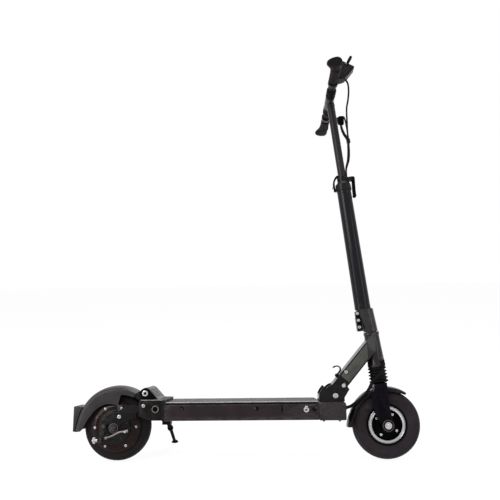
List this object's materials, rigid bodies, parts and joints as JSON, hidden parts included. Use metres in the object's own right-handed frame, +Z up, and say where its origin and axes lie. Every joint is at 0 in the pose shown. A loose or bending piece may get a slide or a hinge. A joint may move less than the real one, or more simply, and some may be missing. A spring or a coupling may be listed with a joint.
{
  "type": "folding electric scooter",
  "caption": "Folding electric kick scooter with deck, fold-down telescoping steering column, folding handlebar, hub motor and kickstand.",
  "frame": {"origin": "On the floor under the middle of the deck, where the scooter stands on its two tyres and its kickstand.", "axes": "+X towards the front wheel, +Y towards the side that the kickstand is on and the scooter leans to, +Z up from the floor."},
  "size_m": [1.0418, 0.572, 1.2077],
  "materials": {
    "bar_black": "black half gloss",
    "battery_blue": "shrink wrap",
    "black_plastic": "satin moulded",
    "black_rubber": "matt",
    "bright_steel": "zinc plated",
    "button_grey": "grey",
    "cast_black": "satin black cast aluminium",
    "column_black": "black half gloss paint",
    "cord_black": "black",
    "deck_black": "satin black anodised extrusion",
    "footrest_grey": "matt grey, ribbed",
    "fork_black": "blue-black half gloss paint",
    "grip_mat_grey": "matt black-grey grit",
    "grip_rubber": "matt",
    "hub_dark": "dark brown-black anodised, half gloss",
    "neck_grey": "grey-green satin paint",
    "painted_black": "black half gloss paint",
    "plated_black": "black plated",
    "polished_rim": "polished",
    "red_lens": "dark red",
    "sleeve_black": "black anodised",
    "stator_copper": "wound copper",
    "tyre_black": "matt"
  },
  "bodies": {
    "deck": {"deck_frame": "deck_black", "grip_mat": "grip_mat_grey", "front_casting": "cast_black", "fold_bracket": "plated_black", "fold_pivot_bolt": "bright_steel", "rear_block": "cast_black", "footrest_pad": "footrest_grey", "battery_pack": "battery_blue", "motor_controller": "cast_black", "swing_pivot_bolt": "bright_steel", "rear_buffer": "black_rubber", "front_harness": "cord_black", "rear_brake_cable": "cord_black"},
    "kickstand": {"kickstand": "plated_black"},
    "charge_cap": {"charge_cap": "bright_steel"},
    "swingarm": {"swingarm": "cast_black", "rear_fender": "black_plastic", "tail_light": "red_lens", "rear_axle": "bright_steel", "motor_stator": "stator_copper", "brake_plate": "plated_black", "brake_noodle": "bright_steel"},
    "brake_arm": {"brake_arm": "plated_black", "brake_wing_nut": "bright_steel"},
    "rear_wheel": {"rear_tyre": "tyre_black", "motor_shell": "hub_dark", "motor_cover_left": "hub_dark", "motor_cover_right": "hub_dark"},
    "neck": {"neck_beam": "neck_grey", "head_tube": "painted_black", "bearing_lower": "bright_steel", "bearing_upper": "bright_steel"},
    "lock_pin": {"lock_pin": "bright_steel"},
    "release_lever": {"release_lever": "plated_black"},
    "steering": {"stem_clamp": "painted_black", "stem_clamp_bolts": "bright_steel", "steering_column": "column_black", "column_collar": "painted_black", "steerer_tube": "plated_black"},
    "quick_release": {"quick_release_lever": "plated_black"},
    "height_latch": {"height_latch": "bright_steel"},
    "fork": {"fork": "fork_black", "front_fender": "black_plastic", "front_axle": "bright_steel", "bellows": "black_rubber"},
    "front_wheel": {"front_tyre": "tyre_black", "front_rim": "polished_rim"},
    "mast": {"upper_tube": "painted_black", "bar_cables": "cord_black"},
    "bar_right": {"bar_right": "bar_black", "grip_right": "grip_rubber", "display_housing": "black_plastic"},
    "bar_left": {"bar_left": "bar_black", "grip_left": "grip_rubber", "brake_perch": "black_plastic"},
    "sleeve_right": {"sleeve_right": "sleeve_black"},
    "sleeve_left": {"sleeve_left": "sleeve_black"},
    "throttle": {"throttle_trigger": "black_plastic"},
    "display_button": {"display_button": "button_grey"},
    "brake_lever": {"brake_lever": "painted_black"}
  },
  "joints": [
    {"name": "fold", "type": "hinge", "parent": "deck", "child": "neck", "pos_m": [0.244, 0.03032, 0.18391], "axis": [0, -0.9866, 0.163], "range_deg": [0, 83.3], "deforming": ["front_harness"]},
    {"name": "release_lever_pivot", "type": "hinge", "parent": "neck", "child": "release_lever", "pos_m": [0.25308, 0.03975, 0.241], "axis": [0, -0.9866, 0.163], "range_deg": [0, 12]},
    {"name": "lock_pin_slide", "type": "slide", "parent": "neck", "child": "lock_pin", "axis": [0.6468, 0.1243, 0.7525], "range_m": [0, 0.006], "stiffness_N_per_m": 800, "springref_m": -0.02},
    {"name": "steering", "type": "hinge", "parent": "neck", "child": "steering", "pos_m": [0.394, 0.0163, 0.09906], "axis": [-0.1167, 0.1619, 0.9799], "range_deg": [-60, 60], "deforming": ["bellows"]},
    {"name": "front_suspension", "type": "slide", "parent": "steering", "child": "fork", "axis": [-0.1167, 0.1619, 0.9799], "range_m": [0, 0.025], "stiffness_N_per_m": 6000, "springref_m": -0.016, "deforming": ["bellows"]},
    {"name": "front_wheel_spin", "type": "hinge", "parent": "fork", "child": "front_wheel", "pos_m": [0.394, 0.0163, 0.09906], "axis": [0, 0.9866, -0.163], "continuous": true},
    {"name": "telescope", "type": "slide", "parent": "steering", "child": "mast", "axis": [0.1167, -0.1619, -0.9799], "range_m": [0, 0.22], "deforming": ["bar_cables"]},
    {"name": "quick_release", "type": "hinge", "parent": "steering", "child": "quick_release", "pos_m": [0.32531, 0.13956, 0.8451], "axis": [0, -0.9866, 0.163], "range_deg": [0, 110]},
    {"name": "height_latch_pivot", "type": "hinge", "parent": "steering", "child": "height_latch", "pos_m": [0.268, 0.1333, 0.80717], "axis": [0, -0.9866, 0.163], "range_deg": [0, 6], "stiffness_Nm_per_rad": 0.4, "springref_deg": -11.46},
    {"name": "bar_fold_right", "type": "hinge", "parent": "mast", "child": "bar_right", "pos_m": [0.25989, 0.12294, 1.11254], "axis": [0.9932, 0.019, 0.1151], "range_deg": [0, 90], "deforming": ["bar_cables"]},
    {"name": "bar_fold_left", "type": "hinge", "parent": "mast", "child": "bar_left", "pos_m": [0.25989, 0.24133, 1.09298], "axis": [-0.9932, -0.019, -0.1151], "range_deg": [0, 90], "deforming": ["bar_cables"]},
    {"name": "sleeve_slide_right", "type": "slide", "parent": "bar_right", "child": "sleeve_right", "axis": [0, -0.9866, 0.163], "range_m": [0, 0.03]},
    {"name": "sleeve_slide_left", "type": "slide", "parent": "bar_left", "child": "sleeve_left", "axis": [0, 0.9866, -0.163], "range_m": [0, 0.03]},
    {"name": "throttle", "type": "hinge", "parent": "bar_right", "child": "throttle", "pos_m": [0.30036, 0.13036, 1.15746], "axis": [0, -0.9866, 0.163], "range_deg": [0, 25], "stiffness_Nm_per_rad": 0.1, "springref_deg": -17.19},
    {"name": "display_button_press", "type": "slide", "parent": "bar_right", "child": "display_button", "axis": [0.9285, -0.0605, -0.3663], "range_m": [0, 0.0015], "stiffness_N_per_m": 200, "springref_m": -0.001},
    {"name": "brake_lever_pivot", "type": "hinge", "parent": "bar_left", "child": "brake_lever", "pos_m": [0.30693, 0.31901, 1.0662], "axis": [0.2807, 0.1565, 0.947], "range_deg": [0, 15], "stiffness_Nm_per_rad": 1.2, "springref_deg": -17.19},
    {"name": "brake_arm_pivot", "type": "hinge", "parent": "swingarm", "child": "brake_arm", "pos_m": [-0.4385, 0.01728, 0.10498], "axis": [0, -0.9866, 0.163], "range_deg": [0, 8]},
    {"name": "rear_swing", "type": "hinge", "parent": "deck", "child": "swingarm", "pos_m": [-0.283, 0.02527, 0.15333], "axis": [0, 0.9866, -0.163], "range_deg": [0, 8], "stiffness_Nm_per_rad": 260, "springref_deg": -3.44, "deforming": ["rear_buffer", "rear_brake_cable"]},
    {"name": "rear_wheel_spin", "type": "hinge", "parent": "swingarm", "child": "rear_wheel", "pos_m": [-0.41, 0.0163, 0.09906], "axis": [0, 0.9866, -0.163], "continuous": true},
    {"name": "kickstand_swing", "type": "hinge", "parent": "deck", "child": "kickstand", "pos_m": [-0.272, 0.07943, 0.1008], "axis": [0.0018, 0.7364, 0.6765], "range_deg": [0, 76.03]},
    {"name": "charge_cap_pivot", "type": "hinge", "parent": "deck", "child": "charge_cap", "pos_m": [0.156, -0.05452, 0.17158], "axis": [-1, 0, 0], "range_deg": [0, 110]}
  ],
  "couplings": [
    {"joint": "release_lever_pivot", "follows": "lock_pin_slide", "rad_per_m": 34.907},
    {"joint": "sleeve_slide_right", "follows": "bar_fold_right", "m_per_rad": 0.019099},
    {"joint": "sleeve_slide_left", "follows": "bar_fold_left", "m_per_rad": 0.019099},
    {"joint": "brake_arm_pivot", "follows": "brake_lever_pivot", "ratio": 0.53333}
  ]
}
